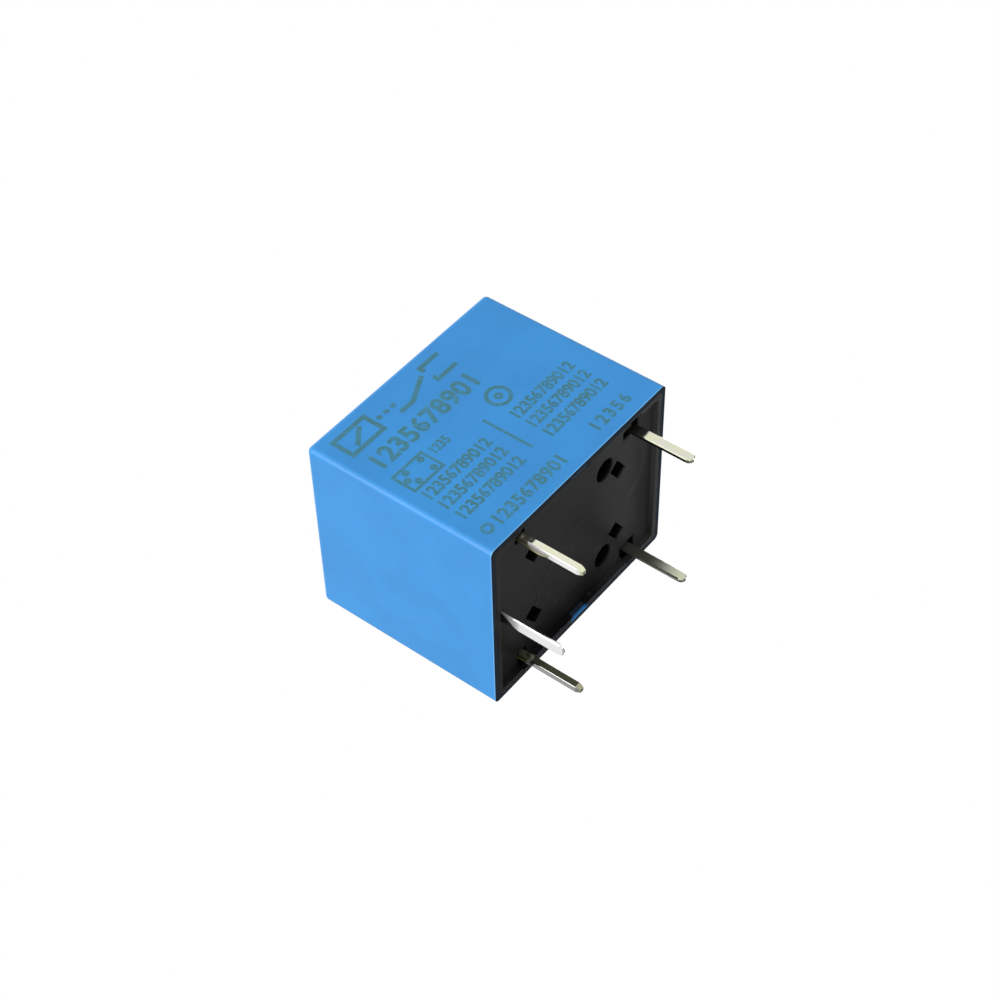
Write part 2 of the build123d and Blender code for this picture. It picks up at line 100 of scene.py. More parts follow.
def linked(name: str, data: ID) -> Object:
    """Adds an object to the scene.

    Args:
        name: its name.
        data: what it shows.

    Returns:
        The object.
    """
    made = bpy.data.objects.new(name, data)
    bpy.context.scene.collection.objects.link(made)
    return made


class Term:
    """A value in a node tree: wraps one socket, so that shader maths reads as Python."""

    def __init__(self, graph: "Graph", socket: NodeSocket | None) -> None:
        """Keeps the tree under way and the socket that carries the value."""
        self.graph = graph
        self.socket = socket

    def _math(self, operation: str, *values: "float | Term") -> "Term":
        """Result of one Math node, whose inputs are the values in order."""
        return self.graph.node("ShaderNodeMath", {"operation": operation}, dict(enumerate(values)))

    def __add__(self, other: "float | Term") -> "Term":
        """Sum."""
        return self._math("ADD", self, other)

    def __sub__(self, other: "float | Term") -> "Term":
        """Difference."""
        return self._math("SUBTRACT", self, other)

    def __rsub__(self, other: float) -> "Term":
        """Difference from a number."""
        return self._math("SUBTRACT", other, self)

    def __mul__(self, other: "float | Term") -> "Term":
        """Product."""
        return self._math("MULTIPLY", self, other)

    def __pow__(self, other: "float | Term") -> "Term":
        """Power."""
        return self._math("POWER", self, other)

    def __rpow__(self, other: float) -> "Term":
        """A number raised to the value."""
        return self._math("POWER", other, self)

    def __abs__(self) -> "Term":
        """Size without its sign."""
        return self._math("ABSOLUTE", self)

    __radd__ = __add__
    __rmul__ = __mul__

    def most(self, other: "float | Term") -> "Term":
        """The larger of two values."""
        return self._math("MAXIMUM", self, other)

    def sine(self) -> "Term":
        """Sine of the value in radians."""
        return self._math("SINE", self)

    def sway(self, spread: float) -> "Term":
        """A value from 0 to 1, turned into one that goes half of spread either side of 0."""
        return (self - MIDDLE) * spread

    def step(self, low: float, high: float) -> "Term":
        """Smooth change from 0 to 1.

        Args:
            low: value that gives 0.
            high: value that gives 1; it may be the smaller of the two.

        Returns:
            0 at low and beyond, 1 at high and beyond, eased at both ends.
        """
        settings = {"interpolation_type": "SMOOTHSTEP", "clamp": True}
        inputs = {"Value": self, "From Min": low, "From Max": high}
        return self.graph.node("ShaderNodeMapRange", settings, inputs)


class Graph:
    """A node tree being built."""

    def __init__(self, tree: NodeTree) -> None:
        """Starts from an empty tree."""
        self.tree = tree
        self.tree.nodes.clear()

    def node(
        self,
        kind: str,
        settings: dict[str, object] | None = None,
        inputs: dict[str | int, object] | None = None,
        output: str | int = 0,
    ) -> Term:
        """Adds any node: settings first, then the values or links of its sockets.

        Args:
            kind: the node's type.
            settings: properties of the node.
            inputs: numbers, colours, vectors or terms for its input sockets.
            output: the output socket that carries on.

        Returns:
            The chosen output, which is empty for a node that ends the tree.
        """
        made = self.tree.nodes.new(kind)
        for name, value in (settings or {}).items():
            setattr(made, name, value)
        for name, value in (inputs or {}).items():
            socket = made.inputs[name]
            if isinstance(value, Term):
                self.tree.links.new(value.socket, socket)
            elif isinstance(value, tuple) and socket.type == "RGBA":
                socket.default_value = (*value, 1.0)
            else:
                socket.default_value = value
        return Term(self, made.outputs[output] if made.outputs else None)


class Paint(Graph):
    """One material, with the few kinds of node that the finishes share."""

    def __init__(self, name: str) -> None:
        """Starts a material.

        Args:
            name: its name.
        """
        self.material = bpy.data.materials.new(name)
        self.material.use_nodes = True
        super().__init__(self.material.node_tree)

    def place(self, stretch: Triple = (1.0, 1.0, 1.0)) -> Term:
        """Position on the part.

        Args:
            stretch: factor along each axis, to draw a texture out.

        Returns:
            The position as a vector.
        """
        here = self.node("ShaderNodeTexCoord", output="Object")
        inputs = {"Vector": here, "Scale": tuple(factor / MM for factor in stretch)}
        return self.node("ShaderNodeMapping", {"vector_type": "POINT"}, inputs)

    def axis(self, index: int) -> Term:
        """One coordinate: 0 for X, 1 for Y, 2 for Z."""
        return self.node("ShaderNodeSeparateXYZ", inputs={"Vector": self.place()}, output=index)

    def noise(self, size: float, detail: float, stretch: Triple = (1.0, 1.0, 1.0)) -> Term:
        """Noise from 0 to 1, in patches of a size, with octaves of detail on top."""
        inputs = {"Vector": self.place(stretch), "Scale": 1.0 / size, "Detail": detail}
        return self.node("ShaderNodeTexNoise", inputs=inputs)

    def mix(self, share: float | Term, first: Colour | Term, second: Colour | Term) -> Term:
        """Blend of two colours, by the share of the second."""
        settings = {"data_type": "RGBA", "clamp_factor": True}
        # Sockets 0, 6 and 7 are the factor and the two colours of a colour mix
        return self.node("ShaderNodeMix", settings, {0: share, 6: first, 7: second}, output=2)

    def soft_edge(self, radius: float) -> Term:
        """Normal that rounds sharp edges by a radius."""
        return self.node("ShaderNodeBevel", {"samples": 4}, {"Radius": radius * MM})

    def bump(self, height: Term, depth: float, under: Term | None = None) -> Term:
        """Surface normal from a height.

        Args:
            height: the height, from 0 to 1.
            depth: what 1 stands for.
            under: the normal that it is laid on, if not the mesh's own.

        Returns:
            The bent normal.
        """
        inputs: dict[str | int, object] = {"Height": height, "Strength": 1.0}
        inputs["Distance"] = depth * MM
        if under is not None:
            inputs["Normal"] = under
        return self.node("ShaderNodeBump", inputs=inputs)

    def close(self, shader: Term) -> Material:
        """Ends the tree with a shader and returns its material."""
        self.node("ShaderNodeOutputMaterial", inputs={"Surface": shader})
        return self.material

    def finish(self, **sockets: object) -> Material:
        """Closes the material with a Principled shader; underscores in names stand for spaces."""
        inputs = {name.replace("_", " "): value for name, value in sockets.items()}
        return self.close(self.node("ShaderNodeBsdfPrincipled", inputs=inputs))


@dataclass(frozen=True)
class CoverPlastic:
    """Satin moulded blue plastic with faint flow marks and a fine spark-eroded grain.

    A pale line along the open edge is a painted highlight. The edge's underside and the
    inner ends of the snap lugs are painted dark, as painted shade.
    """

    blue: Colour = (0.016, 0.233, 0.600)
    pale: Colour = (0.021, 0.266, 0.665)
    edge_highlight: Colour = (0.120, 0.430, 0.820)
    painted_shade: Colour = (0.004, 0.018, 0.040)
    cloud_size: float = 4.5
    cloud_share: float = 0.6
    flow_size: float = 1.6
    flow_stretch: Triple = (0.25, 1.0, 1.0)
    tone_span: Span = (0.30, 0.70)
    edge_highlight_heights: Span = (0.11, 0.06)
    underside_heights: Span = (0.02, 0.01)
    lug_ends: Span = (4.1, 4.0)
    lug_insides: Span = (7.1, 7.0)
    lug_heights: Span = (0.6, 0.5)
    grain_size: float = 0.11
    grain_depth: float = 0.0012
    edge_radius: float = 0.06
    roughness: float = 0.43
    flow_gloss: float = 0.12
    grain_gloss: float = 0.10
    shade_roughening: float = 0.4

    def material(self) -> Material:
        """Builds the node material.

        Returns:
            The material.
        """
        paint = Paint("cover_plastic")
        cloud = paint.noise(self.cloud_size, detail=3.0)
        flow = paint.noise(self.flow_size, detail=2.0, stretch=self.flow_stretch)
        tone = (cloud * self.cloud_share + flow * (1.0 - self.cloud_share)).step(*self.tone_span)
        grain = paint.noise(self.grain_size, detail=3.0)
        rough = self.roughness + flow.sway(self.flow_gloss) + grain.sway(self.grain_gloss)
        height = paint.axis(2)
        plain = paint.mix(tone, self.blue, self.pale)
        # Painted highlight: a pale line along the open edge
        highlit = paint.mix(height.step(*self.edge_highlight_heights), plain, self.edge_highlight)
        # Painted shade: dark on the edge's underside and on the snap lugs' inner ends
        lugs = abs(paint.axis(0)).step(*self.lug_ends) * abs(paint.axis(1)).step(*self.lug_insides)
        lugs = lugs * height.step(*self.lug_heights)
        shade_share = height.step(*self.underside_heights).most(lugs)
        return paint.finish(
            Base_Color=paint.mix(shade_share, highlit, self.painted_shade),
            Roughness=rough + shade_share * self.shade_roughening,
            Normal=paint.bump(grain, self.grain_depth, paint.soft_edge(self.edge_radius)),
        )


@dataclass(frozen=True)
class BasePlastic:
    """Near-black moulding: fine grain, a faint mould line, a curved rub mark and pale scuffs.

    It is painted lighter towards -Y, towards +X and in one corner, as painted light over random
    dusty patches. Its rim walls are painted lighter, as painted light, and its holes black, as
    painted shade.
    """

    black: Colour = (0.008, 0.008, 0.0085)
    lit_and_dusty: Colour = (0.082, 0.0865, 0.084)
    hole_shade: Colour = (0.003, 0.003, 0.003)
    scuffed: Colour = (0.137, 0.142, 0.138)
    lit_wall: Colour = (0.107, 0.112, 0.109)
    cloud_size: float = 3.4
    cloud_span: Span = (0.38, 0.72)
    cloud_dust: float = 0.08
    side_places: Span = (5.5, -7.5)
    side_light: float = 0.36
    end_places: Span = (1.0, 6.5)
    end_light: float = 0.60
    corner_places: Span = (-4.0, -8.0)
    corner_light: float = 0.12
    scuff_size: float = 0.42
    scuff_stretch: Triple = (0.45, 1.5, 1.0)
    scuff_span: Span = (0.66, 0.76)
    scuff_share: float = 0.4
    line_centre: Point = (1.4, 4.4)
    line_radius: float = 6.2
    line_width: float = 0.14
    line_depth: float = 0.010
    rub_centre: Point = (4.8, -2.0)
    rub_radius: float = 3.05
    rub_width: float = 0.45
    rub_ends: Span = (5.4, 6.6)
    rub_sides: Span = (-4.4, -3.2)
    rub_share: float = 0.55
    rim_foot: Span = (0.0, 0.08)
    rim_top: Span = (0.39, 0.32)
    rim_sides: Span = (6.8, 1.0)
    hole_heights: Span = (0.42, 0.62)
    grain_size: float = 0.09
    grain_depth: float = 0.002
    edge_radius: float = 0.05
    roughness: float = 0.50
    cloud_gloss: float = 0.22
    scuff_gloss: float = 0.10
    specular: float = 0.07

    @staticmethod
    def _circle(paint: Paint, centre: Point, radius: float, width: float) -> Term:
        """Thin circle in the plane of the board.

        Args:
            paint: the material under way.
            centre: its centre.
            radius: its radius.
            width: distance over which it fades, on either side.

        Returns:
            1 on the line and 0 away from it.
        """
        across, along = paint.axis(0) - centre[0], paint.axis(1) - centre[1]
        reach = (across * across + along * along) ** 0.5
        return abs(reach - radius).step(width, 0.0)

    def material(self) -> Material:
        """Builds the node material.

        Returns:
            The material.
        """
        paint = Paint("base_plastic")
        cloud = paint.noise(self.cloud_size, detail=3.0)
        scuff = paint.noise(self.scuff_size, detail=3.0, stretch=self.scuff_stretch)
        scuff = scuff.step(*self.scuff_span)
        grain = paint.noise(self.grain_size, detail=2.0)
        rub = self._circle(paint, self.rub_centre, self.rub_radius, self.rub_width)
        rub = rub * paint.axis(0).step(*self.rub_ends) * paint.axis(1).step(*self.rub_sides)
        pale = (scuff * self.scuff_share).most(rub * cloud * self.rub_share)
        # Painted light: lighter towards -Y, towards +X and in one corner, over random dusty
        # patches
        side = paint.axis(1).step(*self.side_places)
        light_and_dust = side * self.side_light + paint.axis(0).step(*self.end_places) * self.end_light
        light_and_dust = light_and_dust + cloud.step(*self.cloud_span) * self.cloud_dust
        light_and_dust = light_and_dust + paint.axis(0).step(*self.corner_places) * (1.0 - side) * self.corner_light
        plain = paint.mix(light_and_dust, self.black, self.lit_and_dusty)
        height = paint.axis(2)
        # Painted light: the rim's inner walls are lighter
        rim = height.step(*self.rim_foot) * height.step(*self.rim_top)
        rim = rim * paint.axis(1).step(*self.rim_sides)
        tone = paint.mix(rim, paint.mix(pale, plain, self.scuffed), self.lit_wall)
        line = self._circle(paint, self.line_centre, self.line_radius, self.line_width)
        lined = paint.bump(line, self.line_depth, paint.soft_edge(self.edge_radius))
        return paint.finish(
            # Painted shade: black inside the holes
            Base_Color=paint.mix(height.step(*self.hole_heights), tone, self.hole_shade),
            Roughness=self.roughness + cloud.sway(self.cloud_gloss) + scuff * self.scuff_gloss,
            Specular_IOR_Level=self.specular,
            Normal=paint.bump(grain, self.grain_depth, lined),
        )


@dataclass(frozen=True)
class TinPlate:
    """Bright tin on copper alloy, drawn along the pin, yellowing in patches.

    It is painted dark where the pin leaves the base, from root_start down to root_end, as
    painted shade and painted reflection of the dark base. The side that faces -X, at side_x,
    has a colour and metalness of its own, as painted light on some pins and painted shade on
    others.
    """

    node: str
    name: str
    side_x: float
    tin: Colour
    yellowed: Colour
    side: Colour
    root: Colour
    root_end: float
    side_metal: float = 1.0
    side_depth: float = 0.07
    side_blend: float = 0.02
    root_start: float = 0.7
    root_top_blend: float = 0.2
    root_fade: float = 0.08
    root_lean: float = 0.0
    root_wave: float = 0.4
    root_dulling: float = 0.4
    root_gloss: float = 0.3
    metal: float = 1.0
    patch_size: float = 0.7
    patch_stretch: Triple = (1.0, 1.0, 0.5)
    patch_span: Span = (0.40, 0.62)
    patch_gloss: float = 0.10
    drawn_size: float = 0.10
    drawn_stretch: Triple = (1.0, 1.0, 0.05)
    drawn_gloss: float = 0.06
    drawn_depth: float = 0.0007
    edge_radius: float = 0.03
    roughness: float = 0.12

    def material(self) -> Material:
        """Builds the node material.

        Returns:
            The material.
        """
        paint = Paint(self.name)
        patch = paint.noise(self.patch_size, detail=3.0, stretch=self.patch_stretch)
        drawn = paint.noise(self.drawn_size, detail=2.0, stretch=self.drawn_stretch)
        # Painted shade and painted reflection of the dark base, near the pin's root
        height = paint.axis(2) + paint.axis(1) * self.root_lean + patch.sway(self.root_wave)
        root_shade = height.step(self.root_end - self.root_fade, self.root_end + self.root_fade)
        root_shade = root_shade * paint.axis(2).step(self.root_start + self.root_top_blend, self.root_start)
        # Painted light and shade: the -X side gets a colour and metalness of its own
        edge = self.side_x + self.side_depth
        side = paint.axis(0).step(edge + self.side_blend, edge - self.side_blend)
        face = paint.mix(patch.step(*self.patch_span), self.tin, self.yellowed)
        metal = self.metal + side * (self.side_metal - self.metal) - root_shade * self.root_dulling
        rough = self.roughness + patch.sway(self.patch_gloss) + drawn.sway(self.drawn_gloss)
        return paint.finish(
            Base_Color=paint.mix(root_shade, paint.mix(side, face, self.side), self.root),
            Metallic=metal,
            Roughness=rough + root_shade * self.root_gloss,
            Normal=paint.bump(drawn, self.drawn_depth, paint.soft_edge(self.edge_radius)),
        )


@dataclass(frozen=True)
class FluxedSolder:
    """Dull solder under an olive brown film of flux."""

    bare: Colour = (0.16, 0.16, 0.115)
    flux: Colour = (0.040, 0.042, 0.022)
    film_size: float = 0.22
    film_span: Span = (0.36, 0.60)
    film_depth: float = 0.03
    film_gloss: float = 0.25
    metal: float = 0.7
    flux_dulling: float = 0.6
    roughness: float = 0.30

    def material(self) -> Material:
        """Builds the node material.

        Returns:
            The material.
        """
        paint = Paint("fluxed_solder")
        film = paint.noise(self.film_size, detail=3.0)
        skin = film.step(*self.film_span)
        return paint.finish(
            Base_Color=paint.mix(skin, self.bare, self.flux),
            Metallic=self.metal - skin * self.flux_dulling,
            Roughness=self.roughness + film * self.film_gloss,
            Normal=paint.bump(film, self.film_depth),
        )


@dataclass(frozen=True)
class WoundWire:
    """Enamelled copper wire in close turns; its two ends yellow with flux at the pins."""

    copper: Colour = (0.55, 0.21, 0.07)
    shade: Colour = (0.30, 0.10, 0.035)
    fluxed: Colour = (0.21, 0.20, 0.09)
    turn: float = 0.11
    turn_depth: float = 0.02
    wobble_size: float = 1.2
    wobble_angle: float = 1.5
    wobble_gloss: float = 0.1
    flux_heights: Span = (1.6, 1.1)
    flux_dulling: float = 0.35
    metal: float = 0.85
    enamel: float = 0.5
    roughness: float = 0.30

    def material(self) -> Material:
        """Builds the node material.

        Returns:
            The material.
        """
        paint = Paint("wound_wire")
        wobble = paint.noise(self.wobble_size, detail=1.0)
        height = paint.axis(2)
        angle = height * (2 * math.pi / self.turn) + wobble * self.wobble_angle
        ridge = angle.sine() * MIDDLE + MIDDLE
        ends = height.step(*self.flux_heights)
        return paint.finish(
            Base_Color=paint.mix(ends, paint.mix(ridge, self.shade, self.copper), self.fluxed),
            Metallic=self.metal - ends * self.flux_dulling,
            Roughness=self.roughness + wobble * self.wobble_gloss,
            Coat_Weight=self.enamel,
            Normal=paint.bump(ridge * (1.0 - ends), self.turn_depth),
        )


@dataclass(frozen=True)
class FilmTape:
    """Thin amber film with a lapped edge and slack creases."""

    film: Colour = (0.62, 0.36, 0.06)
    lapped: Colour = (0.46, 0.24, 0.03)
    lap_places: Span = (1.0, 1.05)
    crease_size: float = 0.7
    crease_stretch: Triple = (1.0, 1.0, 0.3)
    crease_depth: float = 0.03
    crease_gloss: float = 0.15
    roughness: float = 0.22

    def material(self) -> Material:
        """Builds the node material.

        Returns:
            The material.
        """
        paint = Paint("film_tape")
        crease = paint.noise(self.crease_size, detail=3.0, stretch=self.crease_stretch)
        lap = paint.axis(0).step(*self.lap_places)
        return paint.finish(
            Base_Color=paint.mix(lap, self.film, self.lapped),
            Roughness=self.roughness + crease * self.crease_gloss,
            Normal=paint.bump(crease, self.crease_depth),
        )


@dataclass(frozen=True)
class RolledMetal:
    """Metal with a rolled grain: plated iron, leaf or contacts."""

    name: str
    bright: Colour
    dark: Colour
    patch_size: float = 0.8
    patch_detail: float = 3.0
    patch_span: Span = (0.4, 0.75)
    patch_gloss: float = 0.0
    rolled_size: float = 0.05
    rolled_stretch: Triple = (0.08, 1.0, 1.0)
    rolled_depth: float = 0.002
    rolled_gloss: float = 0.15
    edge_radius: float = 0.04
    roughness: float = 0.26

    def material(self) -> Material:
        """Builds the node material.

        Returns:
            The material.
        """
        paint = Paint(self.name)
        patch = paint.noise(self.patch_size, self.patch_detail)
        rolled = paint.noise(self.rolled_size, detail=2.0, stretch=self.rolled_stretch)
        rough = self.roughness + patch.sway(self.patch_gloss) + rolled.sway(self.rolled_gloss)
        return paint.finish(
            Base_Color=paint.mix(patch.step(*self.patch_span), self.bright, self.dark),
            Metallic=1.0,
            Roughness=rough,
            Normal=paint.bump(rolled, self.rolled_depth, paint.soft_edge(self.edge_radius)),
        )


@dataclass(frozen=True)
class CoilFormerPlastic:
    """Natural glass-filled plastic with pale fibre streaks."""

    cream: Colour = (0.55, 0.51, 0.42)
    streak: Colour = (0.66, 0.62, 0.53)
    fibre_size: float = 0.18
    fibre_stretch: Triple = (0.3, 1.0, 1.0)
    fibre_span: Span = (0.45, 0.65)
    fibre_depth: float = 0.004
    fibre_gloss: float = 0.2
    edge_radius: float = 0.06
    roughness: float = 0.50

    def material(self) -> Material:
        """Builds the node material.

        Returns:
            The material.
        """
        paint = Paint("coil_former_plastic")
        fibre = paint.noise(self.fibre_size, detail=3.0, stretch=self.fibre_stretch)
        return paint.finish(
            Base_Color=paint.mix(fibre.step(*self.fibre_span), self.cream, self.streak),
            Roughness=self.roughness + fibre.sway(self.fibre_gloss),
            Normal=paint.bump(fibre, self.fibre_depth, paint.soft_edge(self.edge_radius)),
        )


@dataclass(frozen=True)
class BurntMark:
    """Teal grey laser marking that lets the blue through in specks."""

    name: str
    burnt: Colour
    blue: Colour
    speck_size: float = 0.16
    speck_depth: float = 0.003
    speck_gloss: float = 0.2
    patch_size: float = 0.9
    patch_spread: float = 0.5
    bare_span: Span = (0.40, 0.66)
    roughness: float = 0.50

    def material(self) -> Material:
        """Builds the node material.

        Returns:
            The material.
        """
        paint = Paint(self.name)
        speck = paint.noise(self.speck_size, detail=3.0)
        patch = paint.noise(self.patch_size, detail=2.0)
        bare = (speck + patch.sway(self.patch_spread)).step(*self.bare_span)
        return paint.finish(
            Base_Color=paint.mix(bare, self.burnt, self.blue),
            Roughness=self.roughness + speck.sway(self.speck_gloss),
            Normal=paint.bump(speck, self.speck_depth),
        )


class Piece:
    """Shared steps for the sub-assemblies: dressing a CAD node and adding a mesh."""

    @staticmethod
    def dress(node: str, material: Material) -> None:
        """Gives a CAD node its finish.

        Args:
            node: the node's name.
            material: the finish.
        """
        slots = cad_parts[node].data.materials
        slots.clear()
        slots.append(material)
        LOG.info("%s: %s", node, material.name)

    @staticmethod
    def add(
        name: str,
        mesh: Mesh,
        material: Material,
        slot: Slot,
        body: Body | None,
    ) -> Object:
        """Adds a mesh as a piece of the relay.

        Args:
            name: the piece's name.
            mesh: its mesh, in the part's frame.
            material: its finish.
            slot: the record's material slot it belongs to; it is not used.
            body: the body that carries it, or None to attach it to neither.

        Returns:
            The new object.
        """
        mesh.materials.clear()
        mesh.materials.append(material)
        made = linked(name, mesh)
        if body is not None:
            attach(made, body.value)
        LOG.info("%s: %d faces, %s", name, len(mesh.polygons), material.name)
        return made

    @staticmethod
    def mesh_from(curve: Curve) -> Mesh:
        """Turns a curve or a text into a mesh.

        Args:
            curve: what was drawn.

        Returns:
            The mesh.
        """
        shape = linked(curve.name, curve)
        bpy.context.view_layer.update()
        mesh = bpy.data.meshes.new_from_object(shape)
        bpy.data.objects.remove(shape)
        return mesh

    @staticmethod
    def mesh_of(name: str, shapes: BMesh, smooth: bool) -> Mesh:
        """Turns shapes drawn in millimetres into a mesh in metres.

        Args:
            name: the mesh's name.
            shapes: what was drawn; it is used up.
            smooth: whether its faces shade as one round surface.

        Returns:
            The mesh.
        """
        bmesh.ops.scale(shapes, vec=(MM, MM, MM), verts=shapes.verts)
        bmesh.ops.recalc_face_normals(shapes, faces=shapes.faces)
        for face in shapes.faces:
            face.smooth = smooth
        mesh = bpy.data.meshes.new(name)
        shapes.to_mesh(mesh)
        shapes.free()
        return mesh


@dataclass
class Case(Piece):
    """Cover and base."""

    cover_finish: CoverPlastic = CoverPlastic()
    base_finish: BasePlastic = BasePlastic()

    def build(self) -> None:
        """Dresses both mouldings."""
        self.dress("cover", self.cover_finish.material())
        self.dress("base", self.base_finish.material())


@dataclass
class FaceMarking(Piece):
    """Generic marking burnt into one side: a relay symbol, a pin plan and plain numbers.

    Every place is X and Z on that side. bold and fine are widths of lines, and proud is how
    far the marking stands out. A numeral's outline grows by swell for a height of 1, which
    is numeral_share of its font size. Its width follows its height, up to widest pitches.
    """

    name: str
    finish: BurntMark
    bold: float
    fine: float
    swell: float
    proud: float
    ring_share: float = 0.8
    least_mitre: float = 0.3
    numeral_share: float = 0.73
    widest: float = 1.45
    glyphs: dict[str, Mesh] = field(default_factory=dict)

    def __post_init__(self) -> None:
        """Finds the face that the marking lies on and starts the drawing."""
        self.face_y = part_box("cover")[0].y / MM
        self.shapes = bmesh.new()

    def stroke(self, points: list[Point], width: float, closed: bool = False) -> None:
        """Draws a line of even width with mitred corners.

        Args:
            points: its corners, in order.
            width: its width.
            closed: whether the last corner joins the first.
        """
        path = [Vector(point) for point in points]
        sides = []
        for place, here in enumerate(path):
            first, last = place == 0, place == len(path) - 1
            before = path[place - 1] if closed or not first else 2 * here - path[1]
            after = path[(place + 1) % len(path)] if closed or not last else 2 * here - path[-2]
            into, out = (here - before).normalized(), (after - here).normalized()
            along = (into + out).normalized()
            across = Vector((-along.y, along.x))
            # A limit keeps sharp corners short
            mitre = max(across.dot(Vector((-into.y, into.x))), self.least_mitre)
            reach = across * (width / 2 / mitre)
            both = [(p.x, self.face_y, p.y) for p in (here + reach, here - reach)]
            sides.append([self.shapes.verts.new(point) for point in both])
        pairs = list(zip(sides, sides[1:] + sides[:1]))
        for (left, right), (next_left, next_right) in pairs if closed else pairs[:-1]:
            self.shapes.faces.new((left, next_left, next_right, right))

    def box(self, left: float, low: float, right: float, high: float, width: float) -> None:
        """Draws the outline of a box between two corners."""
        self.stroke([(left, low), (right, low), (right, high), (left, high)], width, closed=True)

    def ring(self, centre: Point, radius: float, width: float, sides: int = 20) -> None:
        """Draws a circle.

        Args:
            centre: its centre.
            radius: its radius, to the middle of the line.
            width: the line's width.
            sides: straight strokes that make it.
        """
        x, z = centre
        turns = [2 * math.pi * side / sides for side in range(sides)]
        points = [(x + radius * math.cos(t), z + radius * math.sin(t)) for t in turns]
        self.stroke(points, width, closed=True)

    def glyph(self, character: str) -> Mesh:
        """Outline of one numeral, 1 high.

        Args:
            character: the numeral.

        Returns:
            A flat mesh that stands on the X axis.
        """
        if character not in self.glyphs:
            outline = bpy.data.curves.new("numeral", "FONT")
            outline.body = character
            outline.size = 1.0 / self.numeral_share
            outline.offset = self.swell
            self.glyphs[character] = self.mesh_from(outline)
        return self.glyphs[character]

    def numbers(self, text: str, left: float, low: float, height: float, pitch: float) -> None:
        """Sets plain numerals along X.

        Args:
            text: the numerals, one for each place.
            left: left edge of the first one.
            low: the line that they stand on.
            height: their height.
            pitch: distance from one to the next.
        """
        upright = Matrix.Rotation(math.pi / 2, 4, "X")
        narrow = Matrix.Diagonal((min(height, pitch * self.widest), height, height, 1.0))
        for place, character in enumerate(text):
            flat = self.glyph(character).copy()
            move = Matrix.Translation((left + place * pitch, self.face_y, low))
            flat.transform(move @ upright @ narrow)
            self.shapes.from_mesh(flat)
            bpy.data.meshes.remove(flat)

    def symbol(self) -> None:
        """Draws the circuit symbol: a coil, a dashed link and the contact that it moves."""
        self.box(-8.15, 12.45, -5.05, 14.25, self.bold)
        self.stroke([(-7.3, 12.8), (-5.9, 13.9)], self.bold)
        for left in (-4.65, -3.95, -3.25):
            self.stroke([(left, 13.35), (left + 0.4, 13.35)], self.bold)
        self.stroke([(-3.2, 12.55), (-1.9, 12.55), (0.3, 13.65)], self.bold)
        for tip, level in ((13.75, 14.2), (13.0, 12.55)):
            self.stroke([(0.75, tip), (0.75, level), (2.7, level)], self.bold)

    def pin_plan(self) -> None:
        """Draws the five pins as they lie under the base."""
        self.box(-8.2, 7.2, -5.3, 9.1, self.fine)
        for pin in ((-7.8, 8.15), (-7.35, 7.6), (-7.35, 8.7), (-5.8, 7.6), (-5.8, 8.7)):
            self.ring(pin, 0.16, self.fine, sides=12)

    def rows(self) -> None:
        """Sets the rows of plain numbers and the rule between the two blocks."""
        self.numbers("1235678901", -8.2, 10.08, 1.50, 1.08)
        self.numbers("1235", -4.9, 8.25, 0.75, 0.44)
        for low in (5.90, 4.55, 3.15):
            self.numbers("12356789012", -8.35, low, 0.92, 0.60)
            self.numbers("12356789012", 0.85, low, 0.92, 0.59)
        self.stroke([(-0.54, 3.6), (-0.54, 7.7)], self.fine)
        self.ring((1.9, 8.3), 0.85, self.bold * self.ring_share)
        self.ring((1.9, 8.3), 0.22, self.fine, sides=12)
        self.ring((-7.95, 1.5), 0.36, self.fine, sides=14)
        self.numbers("1235678901", -7.3, 1.0, 1.0, 0.74)
        self.numbers("12356", 3.1, 1.0, 0.95, 0.84)

    def build(self) -> None:
        """Draws the marking, gives it a hair's thickness and lets it ride on the housing."""
        self.symbol()
        self.pin_plan()
        self.rows()
        raised = bmesh.ops.extrude_face_region(self.shapes, geom=self.shapes.faces[:])
        moved = [part for part in raised["geom"] if isinstance(part, BMVert)]
        bmesh.ops.translate(self.shapes, vec=(0.0, -self.proud, 0.0), verts=moved)
        for flat in self.glyphs.values():
            bpy.data.meshes.remove(flat)
        mesh = self.mesh_of(self.name, self.shapes, smooth=False)
        self.add(self.name, mesh, self.finish.material(), Slot.COVER, Body.HOUSING)


